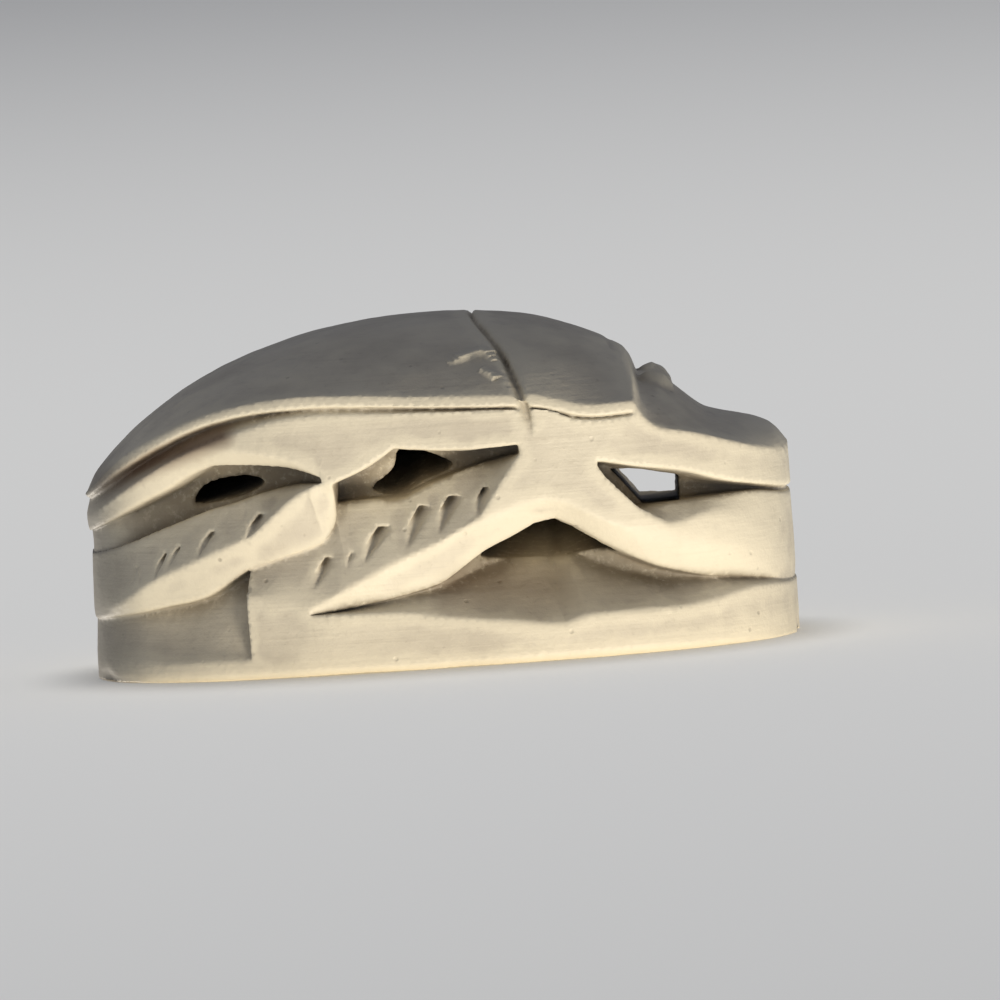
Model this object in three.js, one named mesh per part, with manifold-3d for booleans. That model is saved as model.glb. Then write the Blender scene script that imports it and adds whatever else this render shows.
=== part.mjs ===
// Scarab amulet carved from one small block of pale stone.
//
// Millimetres. The head points along +X, the beetle's sides are -Y and +Y, and +Z is up. The origin is
// the middle of the flat underside. The stone is first shaped as a blank: an oval slab with the beetle's
// back on it. Hollows, tunnels, grooves and notches are then cut into it, as they were by hand.

import * as THREE from 'three';
import { ConvexGeometry } from 'three/addons/geometries/ConvexGeometry.js';
import { mergeVertices } from 'three/addons/utils/BufferGeometryUtils.js';
import Module from 'manifold-3d';

const wasm = await Module();
wasm.setup();

// Driving dimensions.
const LENGTH = 18.1;
const WIDTH = 12.8;
const HEIGHT = 8.76;
const PLAN_POWER = 2.6; // a superellipse: 2 is an ellipse, and more is boxier
const BASE_BEVEL = 0.16; // worn lower edge of the base
const STATIONS = 52; // even cross sections from tail to front
const EXTRA_STATIONS = [4.98, 5.14, 5.3, 5.75, 6.25, 7]; // and those that keep the shape of the head
const ARCH_STEPS = 10;
const ARCH_POWER = 2.7; // of the back's cross section: 2 is a plain arch, and more is flatter on top
const EDGE = 0.24; // thickness of the wing cases and of the thorax shield at their lower edge
const HIND_FACE = 0.6; // how deep the notched upper face of the hind leg slopes in
const MID_FACE = 0.58; // and that of the middle leg, as a share of the depth of the hollow behind it
const OUTSIDE = 1; // how far a cutter stands out of the stone
const FLARE = 0.2; // and how much wider it is there
const FINEST = 0.008; // detail smaller than this is left out of the finished mesh

const TAIL = -LENGTH / 2;
const FRONT = LENGTH / 2;

// A smooth curve z(x) through a few points, which never overshoots them.
function profile(...points) {
  const slope = (i) => (points[i + 1][1] - points[i][1]) / (points[i + 1][0] - points[i][0]);
  const tangent = points.map((_, i) => {
    if (i === 0) return slope(0);
    if (i === points.length - 1) return slope(i - 1);
    const [a, b] = [slope(i - 1), slope(i)];
    return a * b <= 0 ? 0 : (2 * a * b) / (a + b);
  });
  return (x) => {
    if (x <= points[0][0]) return points[0][1];
    const i = points.findIndex((p, k) => k > 0 && x <= p[0]) - 1;
    if (i < 0) return points[points.length - 1][1];
    const [[x0, z0], [x1, z1]] = [points[i], points[i + 1]];
    const h = x1 - x0;
    const u = (x - x0) / h;
    return z0 * (2 * u ** 3 - 3 * u ** 2 + 1) + h * tangent[i] * (u ** 3 - 2 * u ** 2 + u)
      + z1 * (3 * u ** 2 - 2 * u ** 3) + h * tangent[i + 1] * (u ** 3 - u ** 2);
  };
}

// Lines of the beetle in side view, from the tail at -9 to the front at +9.
const crest = profile([-9, 4.75], [-8.75, 5.28], [-8.5, 5.52], [-8, 6.03], [-7.5, 6.45], [-7, 6.79], [-6, 7.39],
  [-5, 7.85], [-4, 8.18], [-3, 8.45], [-2, 8.62], [-1, 8.72], [0, HEIGHT], [1, HEIGHT - 0.02], [2, 8.64],
  [3, 8.43], [4, 8.08], [4.5, 7.82], [4.98, 7.52], [5.14, 7.3], [5.3, 6.86], [5.9, 6.76], [6.25, 6.48],
  [6.5, 6.25], [6.75, 5.99], [7, 5.83], [7.5, 5.68], [8, 5.6], [8.25, 5.53], [8.5, 5.42], [8.75, 5.27],
  [9, 4.85]);
const rim = profile([-9, 4.73], [-8, 5.53], [-7, 6.09], [-6, 6.51], [-5, 6.75], [-4, 6.86], [-3, 6.89],
  [-2, 6.83], [0, 6.69], [2.2, 6.57], [2.8, 6.54], [3.2, 6.39], [3.6, 6.24], [4.2, 6.17], [5.14, 6.21],
  [5.36, 5.95], [5.75, 5.66], [6.5, 5.53], [7, 5.37], [8, 5], [9, 4.68]);
const flankTop = profile([-9, 4.23], [-8, 4.96], [-7, 5.56], [-6.2, 5.95], [-5, 6.32], [-4, 6.59], [-3, 6.66],
  [-1, 6.59], [2.2, 6.49], [2.8, 6.48], [3.6, 6.12], [4.2, 6.05], [5.3, 6.11]);
const flankFold = profile([-9, 4.13], [-8, 4.9], [-7, 5.5], [-6.3, 5.84], [-5.5, 5.93], [-4.5, 5.73],
  [-3.6, 5.52], [-3, 5.27], [-2.6, 5.1]);
const flankLow = profile([-9, 3.83], [-8, 4.51], [-7, 4.98], [-6.3, 5.34], [-5.8, 5.51], [-5, 5.48], [-4, 5.39],
  [-3.5, 5.28], [-3, 5.05], [-2.6, 4.92]);
const hindTop = profile([-9, 3.3], [-8.3, 3.6], [-7.33, 4.0], [-6.26, 4.36], [-5.18, 4.66], [-4.1, 4.9],
  [-3.4, 4.98], [-2.95, 4.97]);
const hindRidge = profile([-9, 1.78], [-8.2, 2.09], [-7.5, 2.56], [-6.5, 3.01], [-5.5, 3.39], [-5, 3.6],
  [-4.5, 3.91], [-4, 4.31], [-3.5, 4.74], [-3.1, 4.92], [-2.6, 4.9]);
const hindLow = profile([-9, 1.58], [-8, 1.82], [-7, 1.99], [-6.2, 2.16], [-5.5, 2.54], [-5, 2.8], [-4, 3.11],
  [-3.3, 3.29], [-3, 3.42], [-2.8, 3.6], [-2.6, 4.05]);
const midSlope = profile([-5.2, 2.21], [-4.5, 2.09], [-3.8, 2.01], [-3.3, 1.78], [-3, 1.94], [-2, 2.41],
  [-1, 2.87], [0, 3.25], [0.7, 3.55], [1.2, 3.95], [1.6, 4.53], [2, 5.18], [2.25, 5.49]);
const midTop = profile([-2.7, 4.83], [-2.2, 5.05], [-1.35, 5.33], [-1.15, 5.56], [-0.92, 5.75], [0, 5.54],
  [0.6, 5.42], [0.95, 5.45], [1.3, 5.56], [2.25, 5.51]);
const midDeep = profile([-2.7, 4.39], [-2, 4.46], [-1, 4.44], [-0.2, 4.76], [0.6, 5.02], [2.25, 5.42]);
const underRidge = profile([-3.5, 1.68], [-3, 1.94], [-2, 2.41], [-1, 2.87], [0, 3.25], [1, 3.63], [1.9, 3.98],
  [2.8, 4.17], [3.4, 3.92], [4, 3.56], [5, 3.12], [6, 2.83], [7, 2.54], [8, 2.18], [9, 1.83]);
const underLow = profile([-3.5, 1.59], [-3, 1.62], [-2, 1.76], [-1, 1.92], [0, 2.16], [0.5, 2.61], [1, 2.88],
  [2, 3.3], [2.8, 3.65], [3.4, 3.43], [4, 3.06], [5, 2.49], [6, 2.05], [7, 1.81], [8, 1.66], [9, 1.44]);
const underDepth = profile([-3.5, 0.05], [-2.5, 0.3], [-1, 0.45], [0, 0.8], [1, 1.7], [2.2, 2.2], [2.9, 2.6],
  [3.5, 2.2], [4.5, 1.7], [5.5, 1.2], [7, 0.6], [8, 0.3], [9, 0.06]);
const baseEdge = profile([-3.5, 1.58], [-2, 1.53], [-1, 1.49], [0, 1.31], [1, 1.18], [2, 1.08], [2.5, 0.96],
  [2.86, 0.8], [3.15, 1.06], [4, 1.11], [6, 1.13], [7, 1.21], [7.5, 1.33], [8, 1.42], [9, 1.33]);
const headLow = profile([4.1, 4.96], [5, 4.77], [6, 4.59], [6.5, 4.49], [7, 4.3], [8, 4.02], [9, 3.78]);
const gapLow = profile([4.1, 4.85], [4.5, 4.35], [5.2, 3.71], [6, 3.77], [7, 3.84], [8, 3.89], [9, 3.65]);
const frontTop = profile([4.1, 4.89], [4.5, 4.35], [5.2, 3.69], [6.05, 3.19], [6.35, 3.34], [7, 3.46],
  [8, 3.46], [9, 3.25]);
const gapDepth = profile([4.1, 0.3], [4.6, 1.6], [6.2, 1.6], [7.2, 1.0], [8, 0.4], [9, 0.12]);
const midDepth = profile([0.6, 1.5], [1.4, 1.3], [2.12, 0.5]);
const hindLip = profile([-9, 0.42], [-6.2, 0.41], [-5, 0.36], [-4, 0.42], [-3.3, 0.52], [-2.6, 0.62]);
const kneeDepth = (x) => hindLip(x) + 0.08;
const endFade = profile([-9, 0.1], [-8.3, 0.5], [-7, 1]);
const tailFade = profile([-9, 0.08], [-8.6, 0.24], [-8.2, 0.65], [-7, 1]);
const kneeFade = profile([-4.2, 1], [-3.4, 0.6], [-2.95, 0.12]);

// The oval seen from above. t runs from 0 at the front, along the -Y side, to PI at the tail.
const signedPower = (v, power) => Math.sign(v) * Math.abs(v) ** power;
const planX = (t) => FRONT * signedPower(Math.cos(t), 2 / PLAN_POWER);
const planY = (t) => (-WIDTH / 2) * signedPower(Math.sin(t), 2 / PLAN_POWER);
const planAngle = (x) => Math.acos(signedPower(x / FRONT, PLAN_POWER / 2));
const halfWidth = (x) => (WIDTH / 2) * (1 - Math.abs(x / FRONT) ** PLAN_POWER) ** (1 / PLAN_POWER);

// Angles of the cross sections, from once round the tail to once round the front.
const extraAngles = EXTRA_STATIONS.map(planAngle);
const evenAngles = Array.from({ length: STATIONS + 1 }, (_, i) => (Math.PI * i) / STATIONS)
  .filter((t) => extraAngles.every((extra) => Math.abs(t - extra) > 0.012));
const halfAngles = [...evenAngles, ...extraAngles].sort((a, b) => b - a);
const stationAngles = [...halfAngles.map((t) => 2 * Math.PI - t).reverse().slice(0, -1), ...halfAngles,
  ...halfAngles.map((t) => -t).reverse().slice(1)];

// The point at height z that lies depth inside the side of the blank, square to the oval.
function inSide(t, depth, z) {
  const power = 2 - 2 / PLAN_POWER;
  const normal = new THREE.Vector2(
    signedPower(Math.cos(t), power) / FRONT,
    -signedPower(Math.sin(t), power) / (WIDTH / 2),
  ).normalize();
  return [planX(t) - depth * normal.x, planY(t) - depth * normal.y, z];
}

// A solid from rings of points, one after another, with flat ends. Each ring has as many points.
function loft(rings, outline) {
  const positions = rings.flat();
  const n = rings[0].length;
  const faces = [];
  for (let r = 0; r + 1 < rings.length; r++) {
    for (let k = 0; k < n; k++) {
      const [a, b] = [r * n + k, r * n + ((k + 1) % n)];
      faces.push([a, b, b + n], [a, b + n, a + n]);
    }
  }
  const contour = outline.map(([u, v]) => new THREE.Vector2(u, v));
  const last = (rings.length - 1) * n;
  for (const cap of THREE.ShapeUtils.triangulateShape(contour, [])) {
    const [a, b, c] = THREE.ShapeUtils.isClockWise(contour) ? [...cap].reverse() : cap;
    faces.push([c, b, a], [a + last, b + last, c + last]);
  }
  return solidFrom(positions, faces);
}

// A manifold-3d solid from points and triangles, with doubled points merged and empty triangles left out.
function solidFrom(positions, faces) {
  const geometry = new THREE.BufferGeometry();
  geometry.setAttribute('position', new THREE.Float32BufferAttribute(positions.flat(), 3));
  geometry.setIndex(faces.flat());
  const merged = mergeVertices(geometry, 1e-4);
  const index = merged.index.array;
  const kept = [];
  for (let i = 0; i < index.length; i += 3) {
    const [a, b, c] = index.slice(i, i + 3);
    if (a !== b && b !== c && a !== c) kept.push(a, b, c);
  }
  const make = (triVerts) => new wasm.Manifold(new wasm.Mesh({
    numProp: 3,
    vertProperties: merged.attributes.position.array,
    triVerts: new Uint32Array(triVerts),
  }));
  const solid = make(kept);
  if (solid.volume() > 0) return solid;
  for (let i = 0; i < kept.length; i += 3) [kept[i + 1], kept[i + 2]] = [kept[i + 2], kept[i + 1]];
  return make(kept);
}

// The same cut on both sides of the stone.
const bothSides = (cut) => [cut, cut.mirror([0, 1, 0])];

// A hollow that follows the sides of the stone from x0 to x1. Its section is a list of [depth, z] at x.
// It is one cut that runs on round the end of the stone where x0 is the tail or x1 the front, and
// otherwise a pair of cuts, one on each side.
function sideCut(x0, x1, section) {
  const from = x0 <= TAIL ? 2 * Math.PI - planAngle(x1) : planAngle(x0);
  const to = x1 >= FRONT ? -planAngle(x0) : planAngle(x1);
  const between = stationAngles.filter((t) => t < from - 0.012 && t > to + 0.012);
  const rings = [from, ...between, to].map((t) => section(planX(t)).map(([depth, z]) => inSide(t, depth, z)));
  const cut = loft(rings, section((x0 + x1) / 2));
  return x0 <= TAIL || x1 >= FRONT ? [cut] : bothSides(cut);
}

// The back's cross section at x, w wide on each side: its point [y, z] at an angle from 0 at the edge to
// PI / 2 on the crest.
function arch(x, w, angle) {
  const [cos, sin, low] = [Math.cos(angle), Math.sin(angle), rim(x)];
  if (x > 5.25) return [w * cos, low + (crest(x) - low) * sin ** 1.6]; // the head is a raised plate
  const edge = Math.min(EDGE, (crest(x) - low) / 2);
  return [0.99 * w * cos, low + edge + (crest(x) - low - edge) * (1 - cos ** ARCH_POWER)];
}

// The blank: an oval slab with straight sides and an arched back, lofted from cross sections.
function blank() {
  const rings = [];
  for (const t of halfAngles) {
    const x = planX(t);
    const w = Math.abs(planY(t));
    const inset = Math.min(BASE_BEVEL, w);
    const half = [[w - inset, 0], [w, BASE_BEVEL], [w, rim(x) / 2], [w, rim(x)]];
    for (let k = 0; k < ARCH_STEPS; k++) half.push(arch(x, w, ((Math.PI / 2) * k) / ARCH_STEPS));
    const left = half.map(([y, z]) => [x, -y, z]);
    const right = half.map(([y, z]) => [x, y, z]).reverse();
    rings.push([[x, 0, 0], ...left, [x, 0, crest(x)], ...right]);
  }
  const n = rings[0].length;
  const faces = [];
  for (let r = 0; r + 1 < rings.length; r++) {
    for (let k = 0; k < n; k++) {
      const [a, b] = [r * n + k, r * n + ((k + 1) % n)];
      faces.push([a, b, b + n], [a, b + n, a + n]);
    }
  }
  return solidFrom(rings.flat(), faces);
}

// Groove under the edge of the wing cases and of the thorax shield, wide towards the tail.
function edgeGroove() {
  const deep = profile([-9, 0.12], [-8, 0.35], [-6.5, 0.42], [-4.5, 0.3], [-3, 0.16], [2.3, 0.12], [2.8, 0.05],
    [3.6, 0.12], [5.2, 0.1]);
  return sideCut(TAIL, 5.12, (x) => [
    [-OUTSIDE, rim(x) + FLARE], [0, rim(x) - 0.01], [deep(x), rim(x) - 0.09], [0, flankTop(x) - 0.02],
    [-OUTSIDE, flankTop(x) - FLARE]]);
}

// Hollow between the flank and the hind leg, with the leg's notched upper face as its floor.
function hindHollow() {
  return sideCut(TAIL, -2.95, (x) => {
    const e = endFade(x) * kneeFade(x);
    const floor = 1.35 * tailFade(x) * kneeFade(x);
    return [[-OUTSIDE, flankFold(x) + FLARE], [0, flankFold(x)], [0.34 * e, flankLow(x)],
      [floor, flankLow(x) + 0.04], [floor, hindTop(x) - 0.04], [HIND_FACE * e, hindTop(x) - 0.06],
      [0, hindRidge(x)], [-OUTSIDE, hindRidge(x) - FLARE]];
  });
}

// Recess between the hind leg and the base, with a step at its front end.
function hindRecess() {
  return sideCut(TAIL, -5.05, (x) => {
    const e = endFade(x);
    return [[-OUTSIDE, hindRidge(x) + FLARE], [0, hindRidge(x) - 0.01], [hindLip(x) * e, hindLow(x)],
      [0.86 * e, hindLow(x) - 0.05], [0.25 * e, 0.75], [0, 0.5], [-OUTSIDE, 0.5 - FLARE]];
  });
}

// Slope behind the knee of the hind leg, which is the rear end of the middle leg's upper face.
function kneeSlope() {
  return sideCut(-5.16, -2.58, (x) => [
    [-OUTSIDE, hindRidge(x) + FLARE], [0, hindRidge(x) - 0.01], [hindLip(x), hindLow(x)],
    [kneeDepth(x), hindLow(x) - 0.04], [0, midSlope(x)], [-OUTSIDE, midSlope(x) - FLARE]]);
}

// Hollow between the flank and the middle leg.
function midHollow() {
  return sideCut(-2.66, 2.12, (x) => {
    const d = midDepth(x);
    return [[-OUTSIDE, midTop(x) + FLARE], [0, midTop(x) + 0.05], [0.3, midTop(x) - 0.02], [d, midTop(x) + 0.02],
      [d, midDeep(x) - 0.03], [MID_FACE * d, midDeep(x) - 0.06], [0, midSlope(x)],
      [-OUTSIDE, midSlope(x) - FLARE]];
  });
}

// Hollow under the middle and front legs, deepest below the shoulder.
function frontHollow() {
  return sideCut(-3.45, FRONT, (x) => {
    const d = underDepth(x);
    const lip = Math.min(0.42, d * 0.8);
    return [[-OUTSIDE, underRidge(x) + FLARE], [0, underRidge(x)], [lip, underLow(x)], [d, underLow(x) - 0.04 * d],
      [d, underLow(x) - 0.05 - 0.4 * Math.max(0, d - 0.6)], [0, baseEdge(x)], [-OUTSIDE, baseEdge(x) - FLARE]];
  });
}

// Gap between the head and the front leg.
function headGap() {
  return sideCut(4.12, FRONT, (x) => {
    const d = gapDepth(x);
    return [[-OUTSIDE, headLow(x) + FLARE], [0, headLow(x) + 0.06], [0.1, headLow(x)], [d, headLow(x) - 0.02],
      [d, gapLow(x)], [d * 0.3, gapLow(x) - 0.04], [0, frontTop(x)], [-OUTSIDE, frontTop(x) - FLARE]];
  });
}

// Tunnels right through the stone. rise is how far one climbs to the middle, and fall is how far it has
// dropped on the far side.
const TUNNELS = [
  { rise: 0.7, fall: 0, outline: [[-6.2, 4.34], [-5.3, 4.48], [-4.75, 4.67], [-4.4, 4.88], [-4.55, 5.04],
    [-5.3, 5.04], [-5.95, 4.79]] },
  { rise: 1.0, fall: 0, outline: [[-1.65, 4.64], [-1.5, 4.48], [-1, 4.44], [-0.3, 4.74], [0.45, 5.08],
    [0.1, 5.34], [-0.9, 5.59], [-1.1, 5.09]] },
  { rise: 1.0, fall: 0, outline: [[0.95, 2.66], [2, 2.44], [3, 2.37], [3.9, 2.52], [4.45, 2.62], [4, 2.94],
    [3.4, 3.31], [2.8, 3.51], [2, 3.18], [1.4, 2.96]] },
  { rise: -0.2, fall: 0.34, outline: [[4.42, 4.7], [5.2, 3.74], [6.15, 3.78], [6.15, 4.44], [5, 4.67]],
    straight: true },
];
function tunnel({ rise, fall, outline, straight }) {
  const corners = outline.map(([x, z]) => new THREE.Vector3(x, 0, z));
  const round = straight ? corners
    : new THREE.CatmullRomCurve3(corners, true).getPoints(3 * corners.length).slice(1);
  const floorY = WIDTH / 2 - 1.5; // about the floor of the hollows, where the outline is true
  const ring = (y) => round.map(({ x, z }) => [x, y, z + rise * (1 - Math.abs(y) / floorY)
    - (y > floorY ? fall : 0)]);
  return loft([-WIDTH / 2 - OUTSIDE, 0, floorY + 0.01, WIDTH / 2 + OUTSIDE].map(ring),
    round.map(({ x, z }) => [x, z]));
}

// Chisel notches on the upper faces of the legs. Each is a valley that starts at its top and runs down to
// the right. A wide facet falls into it from the right, and a narrow one from the left, down to the tip.
const NOTCHES = [
  { tip: [-8.06, 2.64], top: [-7.96, 3.02], left: 0.06, right: 0.12, sink: 0.07 },
  { tip: [-7.42, 2.56], top: [-7.22, 3.3], left: 0.13, right: 0.1, sink: 0.14 },
  { tip: [-7.08, 2.86], top: [-6.86, 3.46], left: 0.12, right: 0.12, sink: 0.13 },
  { tip: [-6.3, 3.1], top: [-5.97, 3.82], left: 0.17, right: 0.2, sink: 0.17 },
  { tip: [-5.02, 3.48], top: [-4.64, 4.2], left: 0.16, right: 0.34, sink: 0.2 },
  { tip: [-3.4, 2.16], top: [-3.04, 3.0], left: 0.16, right: 0.4, sink: 0.2 },
  { tip: [-2.5, 2.6], top: [-2.34, 3.1], left: 0.08, right: 0.16, sink: 0.12 },
  { tip: [-2.08, 2.72], top: [-1.6, 3.7], left: 0.19, right: 0.44, sink: 0.23 },
  { tip: [-0.96, 3.0], top: [-0.5, 4.14], left: 0.2, right: 0.42, sink: 0.25 },
  { tip: [-0.12, 3.32], top: [0.28, 4.34], left: 0.19, right: 0.38, sink: 0.24 },
  { tip: [0.92, 3.72], top: [1.18, 4.52], left: 0.17, right: 0.2, sink: 0.18 },
];
function notch({ tip, top, left, right, sink }) {
  const face = (x, z) => {
    let [low, high, depth] = [midSlope(x), midDeep(x), MID_FACE * midDepth(x)];
    if (top[0] < -4) [low, high, depth] = [hindRidge(x), hindTop(x), HIND_FACE * endFade(x) * kneeFade(x)];
    else if (x < -2.6) [high, depth] = [hindLow(x), kneeDepth(x)];
    return depth * THREE.MathUtils.clamp((z - low) / (high - low), 0, 1);
  };
  const between = (a, b, share) => [a[0] + share * (b[0] - a[0]), a[1] + share * (b[1] - a[1])];
  const at = ([x, z], depth) => new THREE.Vector3(...inSide(planAngle(x), face(x, z) + depth, z));
  const corner = [top[0] + right, top[1]];
  const belly = between(tip, top, 0.45);
  const foot = between(tip, corner, 0.38);
  const out = -0.06;
  return fromGeometry(new ConvexGeometry([at(tip, out), at([belly[0] - left, belly[1]], out), at(top, out),
    at(corner, out), at(foot, out), at(top, sink), at([foot[0] - 0.04, foot[1] + 0.03], sink * 0.75)]));
}

// V groove across the back between the wing cases and the thorax shield, down to the flank.
function divisionGroove() {
  const line = profile([5.7, 2.5], [6.5, 2.36], [7.3, 2.1], [7.95, 1.8], [8.35, 1.5], [8.75, 1.12]); // x at height z
  const rings = [];
  const steps = 24;
  for (let i = -steps; i <= steps; i++) {
    const s = Math.abs(i) / steps; // 0 on the crest, 1 at the lower tip
    const side = i < 0 ? -1 : 1;
    const overBack = 0.75;
    let [y, z, ny, nz] = [0, 0, 0, 0];
    let x = line(9);
    if (s <= overBack) {
      const angle = (Math.PI / 2) * (1 - s / overBack);
      for (let pass = 0; pass < 3; pass++) x = line(arch(x, halfWidth(x), angle)[1]);
      [y, z] = arch(x, halfWidth(x), angle);
      [ny, nz] = [(crest(x) - rim(x) - EDGE) * ARCH_POWER * Math.cos(angle) ** (ARCH_POWER - 1), halfWidth(x)];
    } else {
      z = THREE.MathUtils.mapLinear(s, overBack, 1, rim(2.4) + EDGE, 5.7);
      x = line(z);
      y = halfWidth(x);
      ny = 1;
    }
    const unit = 1 / Math.hypot(ny, nz);
    const fade = Math.min(1, (1 - s) / 0.16 + 0.02);
    const grown = Math.min(1, s / overBack);
    const [wide, sink] = [(0.13 + 0.07 * grown) * fade, (0.15 + 0.08 * grown) * fade];
    const off = (dx, out) => [x + dx, side * (y + out * ny * unit), z + out * nz * unit];
    rings.push([off(-wide * 1.3, 0.05), off(wide * 0.9, 0.05), off(0.02, -sink)]);
  }
  return loft(rings, [[-1, 0], [1, 0], [0, -1]]);
}

// Eyes: two low bumps on the head beside the thorax shield.
function eye() {
  const bump = new THREE.SphereGeometry(0.5, 16, 10);
  bump.scale(1, 1.25, 0.9);
  bump.translate(5.72, -1.75, 6.58);
  return fromGeometry(bump);
}

function fromGeometry(geometry) {
  geometry.deleteAttribute('uv');
  geometry.deleteAttribute('normal');
  const merged = mergeVertices(geometry, 1e-4);
  const points = [];
  for (let i = 0; i < merged.attributes.position.count; i++) {
    points.push(new THREE.Vector3().fromBufferAttribute(merged.attributes.position, i).toArray());
  }
  const faces = [];
  for (let i = 0; i < merged.index.count; i += 3) faces.push([...merged.index.array.slice(i, i + 3)]);
  return solidFrom(points, faces);
}

function amulet() {
  let stone = blank();
  for (const bump of bothSides(eye())) stone = stone.add(bump);
  const cuts = [edgeGroove(), hindHollow(), hindRecess(), kneeSlope(), midHollow(), frontHollow(), headGap(),
    TUNNELS.map(tunnel), NOTCHES.map(notch).flatMap(bothSides), divisionGroove()].flat();
  for (const cut of cuts) stone = stone.subtract(cut);
  return stone.simplify(FINEST);
}

function meshOf(solid, name, material) {
  const { numProp, vertProperties, triVerts } = solid.getMesh();
  const geometry = new THREE.BufferGeometry();
  const positions = new Float32Array((vertProperties.length / numProp) * 3);
  for (let i = 0; i < positions.length / 3; i++) {
    positions.set(vertProperties.subarray(i * numProp, i * numProp + 3), i * 3);
  }
  geometry.setAttribute('position', new THREE.BufferAttribute(positions, 3));
  geometry.setIndex(new THREE.BufferAttribute(new Uint32Array(triVerts), 1));
  geometry.computeVertexNormals();
  const mesh = new THREE.Mesh(geometry, material);
  mesh.name = name;
  return mesh;
}

const paleStone = new THREE.MeshStandardMaterial({ color: 0xd6ccb0, roughness: 0.62, metalness: 0 });

const group = new THREE.Group();
group.add(meshOf(amulet(), 'scarab', paleStone));

export default group;
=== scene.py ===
import math

import bpy
import numpy as np
from mathutils import Matrix, Vector, noise
from mathutils.bvhtree import BVHTree


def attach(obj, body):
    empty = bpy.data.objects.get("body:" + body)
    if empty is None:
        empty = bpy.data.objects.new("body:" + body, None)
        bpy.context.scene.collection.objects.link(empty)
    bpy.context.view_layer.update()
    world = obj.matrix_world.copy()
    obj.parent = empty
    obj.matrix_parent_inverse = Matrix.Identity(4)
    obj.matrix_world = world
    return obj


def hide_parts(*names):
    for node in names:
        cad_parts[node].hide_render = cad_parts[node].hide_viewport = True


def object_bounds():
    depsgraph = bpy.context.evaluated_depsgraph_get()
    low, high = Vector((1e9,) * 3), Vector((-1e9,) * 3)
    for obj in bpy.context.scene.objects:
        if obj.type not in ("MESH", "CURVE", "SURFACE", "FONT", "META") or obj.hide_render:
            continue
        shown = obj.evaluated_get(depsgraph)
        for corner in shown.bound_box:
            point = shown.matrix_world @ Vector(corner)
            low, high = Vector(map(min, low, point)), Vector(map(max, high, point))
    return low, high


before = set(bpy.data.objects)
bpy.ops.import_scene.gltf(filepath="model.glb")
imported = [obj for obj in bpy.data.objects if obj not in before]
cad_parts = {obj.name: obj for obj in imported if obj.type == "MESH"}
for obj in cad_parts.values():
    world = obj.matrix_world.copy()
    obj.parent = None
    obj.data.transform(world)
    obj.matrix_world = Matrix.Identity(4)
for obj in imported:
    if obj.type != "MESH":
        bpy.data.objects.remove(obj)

cad_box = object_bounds()

# The stone.
# One small block of pale fired steatite, carved by hand into a beetle on an oval base. The solid's shape
# is copied with a fine mesh, and the flats that the solid is made of are worn into curves.

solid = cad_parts["scarab"]
bpy.ops.object.select_all(action="DESELECT")
scarab = solid.copy()
scarab.data = solid.data.copy()
scarab.name = "carved_scarab"
scarab.data.name = "carved_scarab"
scarab.parent = None
for key in list(scarab.keys()):
    del scarab[key]
bpy.context.scene.collection.objects.link(scarab)
scarab.data.materials.clear()
bpy.context.view_layer.objects.active = scarab
scarab.select_set(True)
bpy.ops.object.mode_set(mode="EDIT")
bpy.ops.mesh.select_all(action="SELECT")
bpy.ops.mesh.remove_doubles(threshold=2e-7)
bpy.ops.mesh.select_all(action="SELECT")
bpy.ops.mesh.dissolve_degenerate(threshold=3e-5)
bpy.ops.mesh.select_all(action="SELECT")
bpy.ops.mesh.quads_convert_to_tris(quad_method="BEAUTY", ngon_method="BEAUTY")
bpy.ops.mesh.beautify_fill(angle_limit=math.radians(4))
bpy.ops.object.mode_set(mode="OBJECT")


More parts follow.
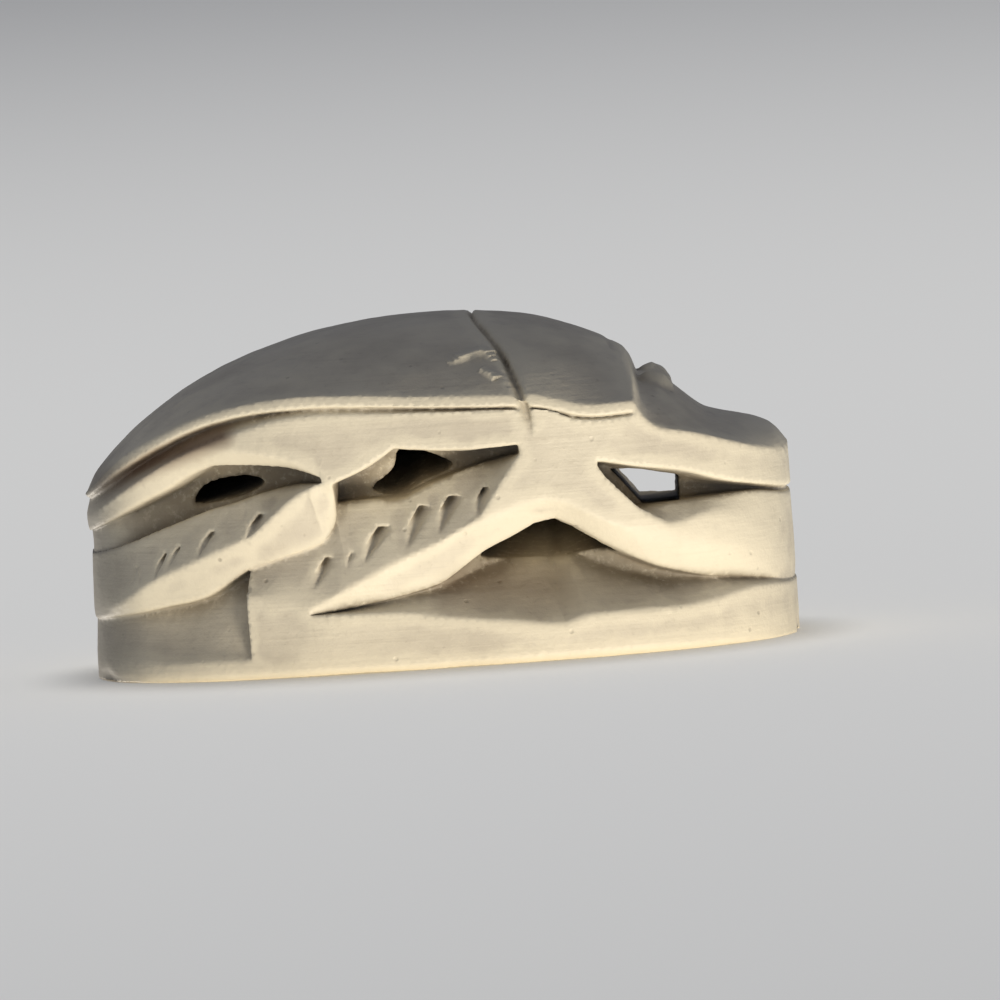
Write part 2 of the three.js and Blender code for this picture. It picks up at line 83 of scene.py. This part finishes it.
class Skin:
    """The stone's surface as arrays in millimetres, so that it can be rubbed and cut all over at once."""

    def __init__(self, mesh, grain):
        self.points = np.empty(len(mesh.vertices) * 3)
        mesh.vertices.foreach_get("co", self.points)
        self.points = self.points.reshape(-1, 3) * 1000
        mesh.calc_loop_triangles()
        self.faces = np.empty(len(mesh.loop_triangles) * 3, dtype=np.int64)
        mesh.loop_triangles.foreach_get("vertices", self.faces)
        self.faces = self.faces.reshape(-1, 3)
        self.grain = np.full(len(self.points), grain)
        self.join()

    def join(self):
        """Finds each edge's two ends, its two faces, and which edge each side of a face is."""
        count = len(self.points)
        sides = np.sort(self.faces[:, [[0, 1], [1, 2], [2, 0]]].reshape(-1, 2), axis=1)
        keys, which = np.unique(sides[:, 0] * count + sides[:, 1], return_inverse=True)
        self.ends = np.stack([keys // count, keys % count], axis=1)
        self.sides = which.reshape(-1, 3)
        self.beside = np.argsort(which.ravel(), kind="stable").reshape(-1, 2) // 3
        self.near = np.bincount(self.ends.ravel(), minlength=count)

    def gather(self, index, values, count):
        """Adds up the rows of values that share an index."""
        if values.ndim == 1:
            return np.bincount(index, values, count)
        return np.stack([np.bincount(index, values[:, k], count) for k in range(3)], axis=1)

    def slopes(self):
        """Each face's normal and its area."""
        a, b, c = (self.points[self.faces[:, k]] for k in range(3))
        normal = np.cross(b - a, c - a)
        area = np.linalg.norm(normal, axis=1)
        return normal / np.maximum(area, 1e-12)[:, None], area / 2

    def normals(self):
        """Each point's normal, from the faces round it by their area."""
        normal, area = self.slopes()
        total = sum(self.gather(self.faces[:, k], normal * area[:, None], len(self.points)) for k in range(3))
        return total / np.maximum(np.linalg.norm(total, axis=1), 1e-12)[:, None]

    def average(self, values):
        """The mean of each point's neighbours."""
        one, two = self.ends.T
        count = len(self.points)
        total = self.gather(one, values[two], count) + self.gather(two, values[one], count)
        return (total.T / self.near).T

    def arrises(self, angle):
        """How many edges sharper than the angle meet at each point."""
        normal, _ = self.slopes()
        bend = (normal[self.beside[:, 0]] * normal[self.beside[:, 1]]).sum(axis=1)
        sharp = self.ends[bend < math.cos(angle)]
        return np.bincount(sharp.ravel(), minlength=len(self.points))

    def split(self):
        """Halves every edge that is longer than the grain at its ends, until none is."""
        while True:
            length = np.linalg.norm(self.points[self.ends[:, 0]] - self.points[self.ends[:, 1]], axis=1)
            long = length > self.grain[self.ends].mean(axis=1)
            if not long.any():
                return
            middle = np.full(len(self.ends), -1)
            middle[long] = len(self.points) + np.arange(long.sum())
            self.points = np.vstack([self.points, self.points[self.ends[long]].mean(axis=1)])
            self.grain = np.concatenate([self.grain, self.grain[self.ends[long]].mean(axis=1)])
            cut = middle[self.sides]
            number = (cut >= 0).sum(axis=1)
            turn = np.where(number == 2, np.argmin(cut, axis=1) + 1, np.argmax(cut >= 0, axis=1))
            order = (np.arange(3) + turn[:, None]) % 3
            a, b, c = np.take_along_axis(self.faces, order, axis=1).T
            ab, bc, ca = np.take_along_axis(cut, order, axis=1).T
            one, two, three = number == 1, number == 2, number == 3
            across = np.linalg.norm(self.points[a] - self.points[bc], axis=1)
            short = across < np.linalg.norm(self.points[ab] - self.points[c], axis=1)
            wide, narrow = two & short, two & ~short
            pieces = [self.faces[number == 0]]
            for chosen, corners in (
                    (one, (a, ab, c)), (one, (ab, b, c)), (two, (ab, b, bc)),
                    (wide, (a, ab, bc)), (wide, (a, bc, c)), (narrow, (a, ab, c)), (narrow, (ab, bc, c)),
                    (three, (a, ab, ca)), (three, (ab, b, bc)), (three, (ca, bc, c)), (three, (ab, bc, ca))):
                pieces.append(np.stack([corner[chosen] for corner in corners], axis=1))
            self.faces = np.vstack(pieces)
            self.join()

    def rub_flats(self, rounds, crease):
        """Evens the surface out, but leaves an edge much sharper than crease, in radians, as it is."""
        normal, area = self.slopes()
        one, two = self.beside[:, 0], self.beside[:, 1]
        for _ in range(rounds):
            gap = ((normal[one] - normal[two]) ** 2).sum(axis=1)
            weight = np.exp(-gap / (2 * crease ** 2))
            total = (normal * area[:, None]
                     + self.gather(one, normal[two] * (weight * area[two])[:, None], len(normal))
                     + self.gather(two, normal[one] * (weight * area[one])[:, None], len(normal)))
            normal = total / np.maximum(np.linalg.norm(total, axis=1), 1e-12)[:, None]
        total_area = sum(self.gather(self.faces[:, k], area, len(self.points)) for k in range(3))
        for _ in range(8):
            centre = self.points[self.faces].mean(axis=1)
            step = np.zeros_like(self.points)
            for k in range(3):
                reach = ((centre - self.points[self.faces[:, k]]) * normal).sum(axis=1) * area
                step += self.gather(self.faces[:, k], normal * reach[:, None], len(self.points))
            self.points += step / total_area[:, None]

    def settle(self, rounds, angle):
        """Slides the points along the surface until they are evenly spread, but not off an arris."""
        for _ in range(rounds):
            free = self.arrises(angle) == 0
            normal = self.normals()
            step = self.average(self.points) - self.points
            step -= normal * (step * normal).sum(axis=1)[:, None]
            self.points[free] += step[free] * 0.5

    def soften(self, rounds):
        """Wears every arris and crease a little, and lets the form between them be."""
        for _ in range(rounds):
            self.points += (self.average(self.points) - self.points) * 0.5
            self.points -= (self.average(self.points) - self.points) * 0.52


COARSE, MIDDLING, FINE, FINEST = 0.5, 0.28, 0.22, 0.12    # longest edges in millimetres, the last at arrises
CREASE = 0.24    # bends much sharper than this, in radians, were carved, and the rest are the solid's facets
ARRIS = 0.45     # a bend that is an arris, in radians

skin = Skin(scarab.data, COARSE)
skin.split()
skin.rub_flats(6, CREASE)
skin.grain[:] = MIDDLING
skin.split()
skin.rub_flats(8, CREASE)
skin.grain = np.where(skin.arrises(ARRIS) > 0, FINEST, FINE)
skin.split()
skin.rub_flats(10, CREASE)
skin.settle(6, 0.35)

# The carver's last cuts.
# With the form done, the carver trimmed the eyes, cut the line behind the head and left the lips of the
# shoulder marks standing. The lower edge was chipped later. Each is on both flanks, in millimetres.


def along(path, step=0.15):
    """The path as points a step apart."""
    path = np.array(path, dtype=float)
    reach = np.concatenate([[0], np.cumsum(np.linalg.norm(np.diff(path, axis=0), axis=1))])
    at = np.linspace(0, reach[-1], max(3, int(reach[-1] / step) + 1))
    return np.stack([np.interp(at, reach, path[:, k]) for k in range(3)], axis=1)


def beside_path(path, reach):
    """The skin's points close to the path, and how far off, on which side and how far along each is."""
    low, high = path.min(axis=0) - reach, path.max(axis=0) + reach
    index = np.flatnonzero(((skin.points > low) & (skin.points < high)).all(axis=1))
    gap = skin.points[index][:, None] - path[None]
    nearest = np.argmin((gap ** 2).sum(axis=2), axis=1)
    way = np.gradient(path, axis=0)
    way /= np.linalg.norm(way, axis=1)[:, None]
    way = way[nearest]
    gap = gap[np.arange(len(index)), nearest]
    gap -= way * (gap * way).sum(axis=1)[:, None]
    off = np.linalg.norm(gap, axis=1)
    side = np.cross(way, skin.normals()[index])
    side *= np.where(side[:, 2] < 0, -1, 1)[:, None]
    return index, off, (gap * side).sum(axis=1), nearest / (len(path) - 1)


def cut(path, above, below, depth, grain, ends=0.3):
    """Cuts a groove with one wall above the path and one below, or a ridge where depth is negative.

    The walls are above and below wide, the mesh there gets edges no longer than grain, and the cut
    fades out over the share of its length that ends is.
    """
    for flank in (1, -1):
        line = along([(x, y * flank, z) for x, y, z in path])
        index, off, _, _ = beside_path(line, max(above, below))
        close = index[off < max(above, below)]
        skin.grain[close] = np.minimum(skin.grain[close], grain)
    skin.split()
    for flank in (1, -1):
        line = along([(x, y * flank, z) for x, y, z in path])
        index, off, side, place = beside_path(line, max(above, below))
        share = np.clip(1 - off / np.where(side > 0, above, below), 0, 1)
        taper = np.clip(np.minimum(place, 1 - place) / ends, 0, 1)
        skin.points[index] -= skin.normals()[index] * (depth * share * taper)[:, None]


eye = [(5.75, -1.5, 7.15), (6.05, -1.5, 7.0), (6.3, -1.5, 6.7)]
cut(eye, 0.55, 0.55, 0.16, grain=0.12)
head_line = [(4.62, -3.2, 7.25), (4.65, -1.7, 7.68), (4.66, 0, 7.86)]
cut(head_line, 0.12, 0.12, 0.07, grain=0.08)
front_chip = [(9.05, -1.6, 0.10), (9.05, -0.4, 0.14), (9.05, 0, 0.12)]
cut(front_chip, 0.28, 0.3, 0.14, grain=0.1)
tail_chip = [(-8.95, -0.8, 0.12), (-8.6, -2.4, 0.16), (-7.9, -3.6, 0.08), (-7.2, -4.3, 0.10)]
cut(tail_chip, 0.26, 0.3, 0.12, grain=0.1)
skin.soften(5)

shoulder_mark = [(0.41, -5.20, 7.67), (0.68, -5.14, 7.69), (0.98, -4.99, 7.75), (1.24, -4.83, 7.81),
                 (1.39, -4.80, 7.81), (1.54, -4.95, 7.73), (1.66, -5.14, 7.62)]
cut(shoulder_mark, 0.45, 0.11, -0.15, grain=0.05)
lower_mark = [(1.20, -5.42, 7.48), (1.39, -5.53, 7.40), (1.55, -5.69, 7.28), (1.70, -5.84, 7.17)]
cut(lower_mark, 0.30, 0.11, -0.12, grain=0.05)

# The hand's unevenness.
# The stone was filed by eye, so its curves wander by a few hundredths of a millimetre.

WANDER = ((1.7, 0.030), (0.55, 0.010), (0.2, 0.004))    # the width of each unevenness and its height
away = skin.normals()
for width, height in WANDER:
    wave = [noise.noise(Vector(point)) for point in (skin.points / width).tolist()]
    skin.points += away * (np.array(wave) * height)[:, None]
low, high = (np.array(corner) * 1000 for corner in cad_box)
skin.points = np.clip(skin.points, low, high)

mesh = bpy.data.meshes.new("carved_scarab")
mesh.from_pydata((skin.points / 1000).tolist(), [], skin.faces.tolist())
scarab.data = mesh
MOST_TRIANGLES = 190000
thin = scarab.modifiers.new("thin", "DECIMATE")
thin.ratio = min(1, MOST_TRIANGLES / len(mesh.polygons))
bpy.ops.object.modifier_apply(modifier="thin")
mesh = scarab.data
mesh.polygons.foreach_set("use_smooth", np.ones(len(mesh.polygons), dtype=bool))
mesh.update()

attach(scarab, "root")
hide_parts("scarab")

# Painted shade, grime, wear and painted highlight.
# The colour darkens the hollows: the brown in half-sheltered places is partly old dirt and partly painted
# shade, and the dark grey in the deepest places and the tunnels is painted shade. The arrises are painted
# paler, partly as wear from handling and partly as a painted highlight, and the tail end is painted greyer
# as painted shade. How sheltered a point is comes from rays sent out from it: the more of them the stone
# stops close by, the more it is.

SHELTER = 1.4    # how far off the stone still shelters a point, in millimetres
FAN = ((0.35, 3), (0.9, 7))    # how far the rays lean out from the surface's normal, and how many do
FADE = 0.6       # how much less a ray counts that is stopped at its far end
SHARP = 0.02     # how far an arris stands out where it is painted palest, as wear and painted highlight, in millimetres

skin = Skin(mesh, 1)
normal = skin.normals()
tree = BVHTree.FromPolygons(skin.points.tolist(), skin.faces.tolist())
one_side = np.cross(normal, (0.31, 0.77, 0.55))
one_side /= np.linalg.norm(one_side, axis=1)[:, None]
other_side = np.cross(normal, one_side)
sheltered = np.zeros(len(skin.points))
starts = (skin.points + normal * 0.02).tolist()
for lean, rays in FAN:
    for number in range(rays):
        angle = 2 * math.pi * (number + lean) / rays
        outward = (one_side * math.cos(angle) + other_side * math.sin(angle)) * math.sin(lean)
        ways = (normal * math.cos(lean) + outward).tolist()
        hits = [tree.ray_cast(start, way, SHELTER)[3] for start, way in zip(starts, ways)]
        sheltered += [0 if hit is None else 1 - hit / SHELTER * FADE for hit in hits]
sheltered /= sum(rays for _, rays in FAN)
for _ in range(3):
    sheltered = skin.average(sheltered)
# Convex arrises, which the colour paints paler: partly wear, partly a painted highlight.
flat = skin.points
for _ in range(6):
    flat = skin.average(flat)
ridge = np.clip(((skin.points - flat) * normal).sum(axis=1) / SHARP, 0, 1)


def smear(path, reach):
    """A brownish mark along a path of the flanks, fading out at its reach."""
    spot = skin.points[:, [0, 2]]
    least = np.full(len(spot), 1e9)
    for start, end in zip(np.array(path[:-1]), np.array(path[1:])):
        run = end - start
        share = np.clip((spot - start) @ run / (run @ run), 0, 1)
        least = np.minimum(least, np.linalg.norm(spot - start - share[:, None] * run, axis=1))
    return np.clip(1 - least / reach, 0, 1) ** 0.8


x, _, z = skin.points.T
patch_top = 2.9    # the stain on the base stays under this height
# a dark brown band along the groove under the wing case's rim at the tail end
under_wing = smear([(-8.6, 5.0), (-7.2, 5.65), (-5.4, 6.25)], 0.42)
warm_patch = smear([(0.3, 1.95), (1.6, 1.95), (2.6, 1.75)], 0.75) * (z < patch_top)
# The tail end is painted greyer: painted shade, where the end turns away from the key.
tail_shade = np.clip((-x - 7.6) / 1.2, 0, 1) * 0.7
for name, values in (("sheltered", sheltered), ("ridge", skin.average(ridge)),
                     ("stain", np.maximum(under_wing * 0.9, warm_patch * 0.45)), ("tail_shade", tail_shade)):
    mesh.attributes.new(name, "FLOAT", "POINT").data.foreach_set("value", values)

# The material.
# Steatite is soapstone, and firing turned it hard and pale. It has a fine even grain, a dull polish from
# handling, faint file strokes along the base and tiny pits.


def linear(hex_colour):
    """An sRGB hex colour as linear red, green, blue and alpha."""
    parts = [int(hex_colour[i:i + 2], 16) / 255 for i in (1, 3, 5)]
    return [*(p / 12.92 if p <= 0.04045 else ((p + 0.055) / 1.055) ** 2.4 for p in parts), 1.0]


def add(material, kind, inputs, **settings):
    """A node with its settings, and with each input set to a value or linked to another node's output."""
    node = material.node_tree.nodes.new("ShaderNode" + kind)
    for name, value in settings.items():
        setattr(node, name, value)
    for name, value in inputs.items():
        if isinstance(value, bpy.types.NodeSocket):
            material.node_tree.links.new(value, node.inputs[name])
        else:
            node.inputs[name].default_value = value
    return node.outputs


PATCH = 0.0035     # metres across each of the stone's clouds of colour
GRAIN = 0.00022    # the grain, drawn about three times as coarse as it is, so that it shows
STROKE = (0.004, 0.0009, 0.00009)    # a file stroke's length, its depth into the stone and its width
PIT = 0.0008       # from one pit to the next

steatite = bpy.data.materials.new("fired_steatite")
steatite.use_nodes = True
shader = steatite.node_tree.nodes["Principled BSDF"]
place = add(steatite, "TexCoord", {})["Object"]
cloud = add(steatite, "TexNoise", {"Vector": place, "Scale": 1 / PATCH, "Detail": 5, "Roughness": 0.6})["Fac"]
grain = add(steatite, "TexNoise", {"Vector": place, "Scale": 1 / GRAIN, "Detail": 3, "Roughness": 0.7})["Fac"]
stretched = add(steatite, "Mapping", {"Vector": place, "Scale": [1 / size for size in STROKE]})["Vector"]
strokes = add(steatite, "TexNoise", {"Vector": stretched, "Scale": 1, "Detail": 2, "Roughness": 0.5})["Fac"]
cell = add(steatite, "TexVoronoi", {"Vector": place, "Scale": 1 / PIT, "Randomness": 1})["Distance"]
pit = add(steatite, "MapRange", {"Value": cell, "From Min": 0.03, "From Max": 0.10, "To Min": 1, "To Max": 0},
          interpolation_type="SMOOTHSTEP")["Result"]


def tint(under, over, share):
    """Lays a hex colour over another colour by an output's share."""
    if isinstance(under, str):
        under = linear(under)
    return add(steatite, "Mix", {0: share, 6: under, 7: linear(over)}, data_type="RGBA")[2]


def ramp(value, low, high, most=1):
    """Spreads a value's stretch from low to high over nothing to most."""
    return add(steatite, "MapRange", {"Value": value, "From Min": low, "From Max": high, "To Max": most},
               interpolation_type="SMOOTHSTEP")["Result"]


def mark(name):
    """The part of the surface's own marks that has this name."""
    return add(steatite, "Attribute", {}, attribute_name=name)["Fac"]


def product(one, two):
    """One output times another."""
    return add(steatite, "Math", {0: one, 1: two}, operation="MULTIPLY")["Value"]


colour = tint("#E2D8C0", "#CFC5B0", ramp(cloud, 0.35, 0.7))
colour = tint(colour, "#BDB29C", ramp(strokes, 0.5, 0.8, 0.3))
colour = tint(colour, "#A79A82", ramp(grain, 0.55, 0.85, 0.35))
# paler arrises: partly wear, partly a painted highlight
colour = tint(colour, "#F0E6CB", ramp(mark("ridge"), 0.15, 0.7, 0.6))
colour = tint(colour, "#8F8573", product(pit, ramp(cloud, 0.4, 0.6, 0.5)))
# brown in the half-sheltered places: partly dirt, partly painted shade
colour = tint(colour, "#796C57", product(ramp(mark("sheltered"), 0.10, 0.50, 0.85), ramp(grain, 0.1, 0.5)))
# dark grey in the deepest hollows and tunnels: painted shade
colour = tint(colour, "#4C4842", ramp(mark("sheltered"), 0.42, 0.72, 0.9))
# dark brown along the groove under the wing case's rim at the tail end, and a warm brown patch on the base
colour = tint(colour, "#6B513C", product(mark("stain"), ramp(cloud, 0.2, 0.5)))
# greyer tail end: painted shade
colour = tint(colour, "#8A8478", product(mark("tail_shade"), ramp(cloud, 0.2, 0.5)))
roughness = add(steatite, "MapRange", {"Value": cloud, "From Min": 0.3, "From Max": 0.7, "To Min": 0.48,
                                       "To Max": 0.66})["Result"]
relief = add(steatite, "Math", {0: strokes, 1: 0.5, 2: grain}, operation="MULTIPLY_ADD")["Value"]
relief = add(steatite, "Math", {0: relief, 1: pit}, operation="SUBTRACT")["Value"]
bump = add(steatite, "Bump", {"Height": relief, "Strength": 0.5, "Distance": 0.00003})["Normal"]
for name, output in (("Base Color", colour), ("Roughness", roughness), ("Normal", bump)):
    steatite.node_tree.links.new(output, shader.inputs[name])
shader.inputs["IOR"].default_value = 1.5
mesh.materials.clear()
mesh.materials.append(steatite)

# The stage.
# A plain pale table. The soft key stands low in front to the right and shines up along the flank, a weaker
# one does the same behind, and a wide lamp overhead is for the table alone.

bpy.ops.mesh.primitive_plane_add(size=4, location=(0, 0, 0))
table = bpy.context.object
table.name = "table"
paper = bpy.data.materials.new("pale_paper")
paper.use_nodes = True
paper.node_tree.nodes["Principled BSDF"].inputs["Base Color"].default_value = linear("#D9D8D4")
paper.node_tree.nodes["Principled BSDF"].inputs["Roughness"].default_value = 0.9
table.data.materials.append(paper)
table.visible_shadow = False

world = bpy.data.worlds.new("room")
bpy.context.scene.world = world
world.use_nodes = True
world.node_tree.nodes["Background"].inputs["Color"].default_value = linear("#989CAA")
world.node_tree.nodes["Background"].inputs["Strength"].default_value = 0.5


def lamp(name, place, aim, size, power, colour):
    """A round soft lamp at a place, shining at another."""
    light = bpy.data.lights.new(name, "AREA")
    light.shape = "DISK"
    light.size = size
    light.energy = power
    light.color = linear(colour)[:3]
    holder = bpy.data.objects.new(name, light)
    bpy.context.scene.collection.objects.link(holder)
    holder.location = place
    holder.rotation_euler = (Vector(aim) - Vector(place)).to_track_quat("-Z", "Y").to_euler()
    return holder


lamp("key", (0.060, -0.112, -0.076), (0, 0, 0.004), 0.05, 0.185, "#FFF5E6")
lamp("back_key", (-0.070, 0.112, -0.060), (0, 0, 0.004), 0.05, 0.08, "#FFF6EA")
overhead = lamp("overhead", (0, 0.10, 0.60), (0, 0.10, 0), 0.5, 3.0, "#FFFFFF")
lit_table = bpy.data.collections.new("lit_table")
lit_table.objects.link(table)
overhead.light_linking.receiver_collection = lit_table

AWAY = 0.5         # from the lens to the stone, in metres
FIELD = 0.02575    # the width that the lens takes in there
view = bpy.data.cameras.new("view")
view.sensor_width = 36
view.lens = view.sensor_width * AWAY / FIELD
view.clip_start = 0.01
view.clip_end = 20
camera = bpy.data.objects.new("view", view)
bpy.context.scene.collection.objects.link(camera)
tilt, roll = math.radians(3.4), math.radians(3.94)
aim = Vector((0.00157, 0, 0.003813))
back = Vector((0, -math.cos(tilt), math.sin(tilt)))
right = Vector((1, 0, 0))
turn = Matrix((right, back.cross(right), back)).transposed() @ Matrix.Rotation(-roll, 3, "Z")
camera.matrix_world = Matrix.Translation(aim + back * AWAY) @ turn.to_4x4()
bpy.context.scene.camera = camera
bpy.context.scene.view_settings.view_transform = "Standard"
